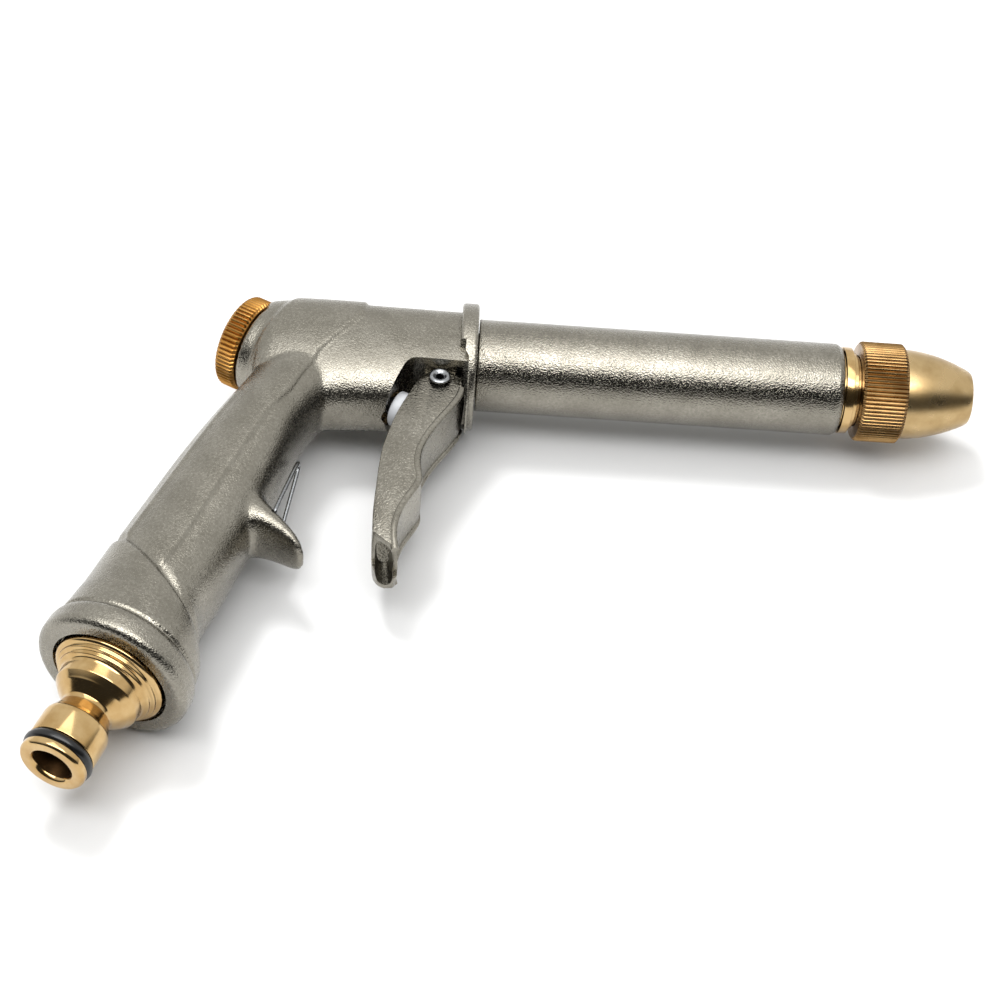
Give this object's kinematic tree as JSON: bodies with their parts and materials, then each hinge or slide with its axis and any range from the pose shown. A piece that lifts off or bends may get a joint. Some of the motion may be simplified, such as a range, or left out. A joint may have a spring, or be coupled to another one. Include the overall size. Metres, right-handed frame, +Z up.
{
  "type": "hose spray nozzle",
  "caption": "Pistol-grip garden hose nozzle with a long barrel, twist jet nozzle, front trigger, valve with rear knob, and quick-connect tail.",
  "frame": {"origin": "middle of the footprint, on the surface that the nozzle lies on", "axes": "+X along the barrel to the nozzle, +Y away from the grip, +Z up across the body"},
  "size_m": [0.2392, 0.1614, 0.04],
  "materials": {
    "satin_nickel": "sand-textured casting with satin nickel plating",
    "polished_brass": "turned and polished",
    "satin_brass": "turned, satin",
    "knob_brass": "straight knurled",
    "rubber": "moulded, matt",
    "nylon": "moulded natural nylon",
    "steel": "bright drawn"
  },
  "bodies": {
    "body": {"body_casting": "satin_nickel", "barrel_tube": "satin_nickel", "barrel_seal": "rubber", "nozzle_fitting": "polished_brass", "fitting_seal": "rubber", "jet_pin": "polished_brass", "gland_bush": "polished_brass", "stem_seal": "rubber", "valve_spring": "steel", "trigger_rivet": "steel", "hose_tail": "polished_brass", "tail_seal": "rubber", "tail_washer": "rubber", "inlet_screen": "steel"},
    "trigger": {"trigger": "satin_nickel"},
    "stem": {"valve_stem": "steel", "valve_disc": "rubber", "disc_nut": "polished_brass", "push_cap": "nylon"},
    "knob_carrier": {"knob_seal": "rubber"},
    "knob": {"rear_knob": "knob_brass"},
    "cap_carrier": {"nozzle_seal": "rubber"},
    "cap": {"nozzle_cap": "satin_brass"},
    "latch": {"latch_wire": "steel"}
  },
  "joints": [
    {"name": "trigger_pivot", "type": "hinge", "parent": "body", "child": "trigger", "pos_m": [-0.02754, 0.04914, 0.02], "axis": [0, 0, -1], "range_deg": [0, 16], "stiffness_Nm_per_rad": 0.5, "springref_deg": -28.65},
    {"name": "stem_slide", "type": "slide", "parent": "body", "child": "stem", "axis": [-0.8949, 0.4462, 0], "range_m": [0, 0.00236], "deforming": ["valve_spring"]},
    {"name": "knob_lift", "type": "slide", "parent": "body", "child": "knob_carrier", "axis": [-0.8949, 0.4462, 0], "range_m": [0, 0.001]},
    {"name": "knob_turn", "type": "hinge", "parent": "knob_carrier", "child": "knob", "pos_m": [-0.07853, 0.0652, 0.02], "axis": [-0.8949, 0.4462, 0], "range_deg": [0, 360]},
    {"name": "cap_travel", "type": "slide", "parent": "body", "child": "cap_carrier", "axis": [1, 0, 0], "range_m": [-0.0008, 0.0016]},
    {"name": "cap_turn", "type": "hinge", "parent": "cap_carrier", "child": "cap", "pos_m": [0.1, 0.06414, 0.02], "axis": [1, 0, 0], "range_deg": [-180, 360]},
    {"name": "latch_swing", "type": "hinge", "parent": "body", "child": "latch", "pos_m": [-0.06678, -0.00132, 0.02], "axis": [0, 0, -1], "range_deg": [0, 45]}
  ],
  "couplings": [
    {"joint": "stem_slide", "follows": "trigger_pivot", "m_per_rad": 0.008383},
    {"joint": "knob_lift", "follows": "knob_turn", "m_per_rad": 0.00015915},
    {"joint": "cap_travel", "follows": "cap_turn", "m_per_rad": 0.00023873}
  ]
}
